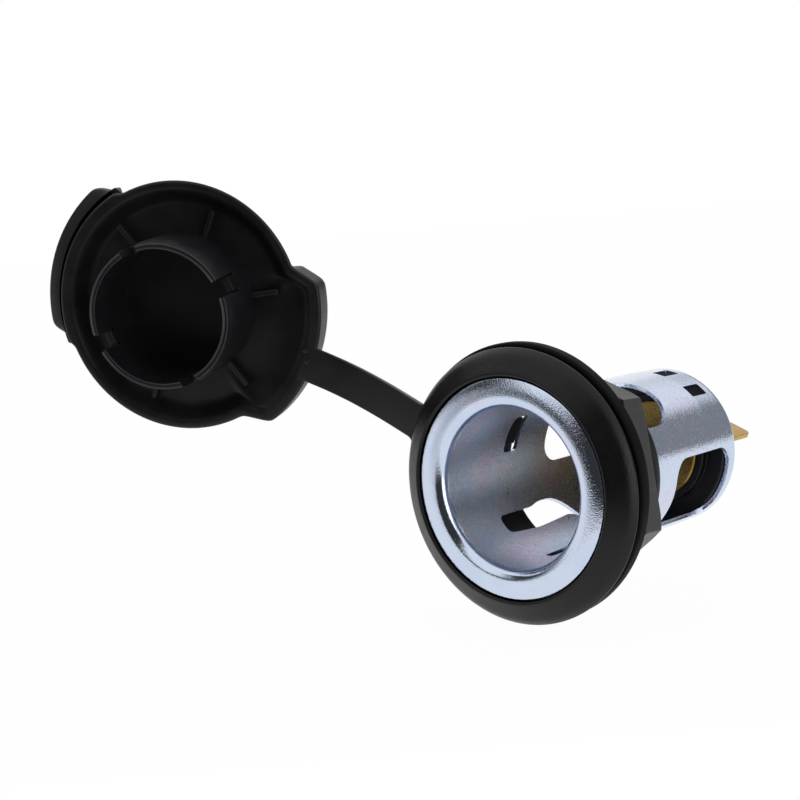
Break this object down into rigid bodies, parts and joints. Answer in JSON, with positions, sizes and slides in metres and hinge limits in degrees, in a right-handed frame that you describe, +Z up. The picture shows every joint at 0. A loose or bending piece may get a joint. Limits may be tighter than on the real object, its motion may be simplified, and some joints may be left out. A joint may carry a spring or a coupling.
{
  "type": "car 12v power socket",
  "caption": "Panel-mounted 12 V accessory socket: plated steel shell with a spring tongue in a round bezel with threaded sleeve, hexagon fixing nut, blade terminals and a tethered plug-in cap.",
  "frame": {"origin": "on the socket's axis in the plane of the panel's front face, which is the rear face of the cap ring behind the bezel", "axes": "+Y along the socket's axis towards the terminals, so the plug enters from -Y; +Z up and +X to the right, seen from the front"},
  "size_m": [0.0892, 0.0777, 0.0627],
  "materials": {
    "plated_steel": "bright bluish zinc plating on drawn sheet steel, finely grained",
    "bezel_plastic": "black moulded plastic with a fine matt spark texture",
    "cap_rubber": "black soft thermoplastic, matt, with light worn edges",
    "nut_plastic": "black moulded plastic with a satin surface",
    "insulator_plastic": "black heat-resistant moulded plastic",
    "brass": "plain stamped brass"
  },
  "bodies": {
    "socket": {"socket_shell": "plated_steel", "bezel": "bezel_plastic", "cap_ring": "cap_rubber", "strap": "cap_rubber", "insulator": "insulator_plastic", "contact_disc": "brass", "centre_terminal": "brass", "earth_terminal": "brass"},
    "cap": {"cap": "cap_rubber"},
    "nut": {"fixing_nut": "nut_plastic"}
  },
  "joints": [
    {"name": "cap_fold", "type": "hinge", "parent": "socket", "child": "cap", "pos_m": [-0.02561, -0.00338, 0.01328], "axis": [0.4596, 0.0495, 0.8867], "range_deg": [0, 156.2], "stiffness_Nm_per_rad": 0.004, "deforming": ["strap"]},
    {"name": "nut_travel", "type": "slide", "parent": "socket", "child": "nut", "axis": [0, 1, 0], "range_m": [-0.0019, 0.0525]}
  ]
}
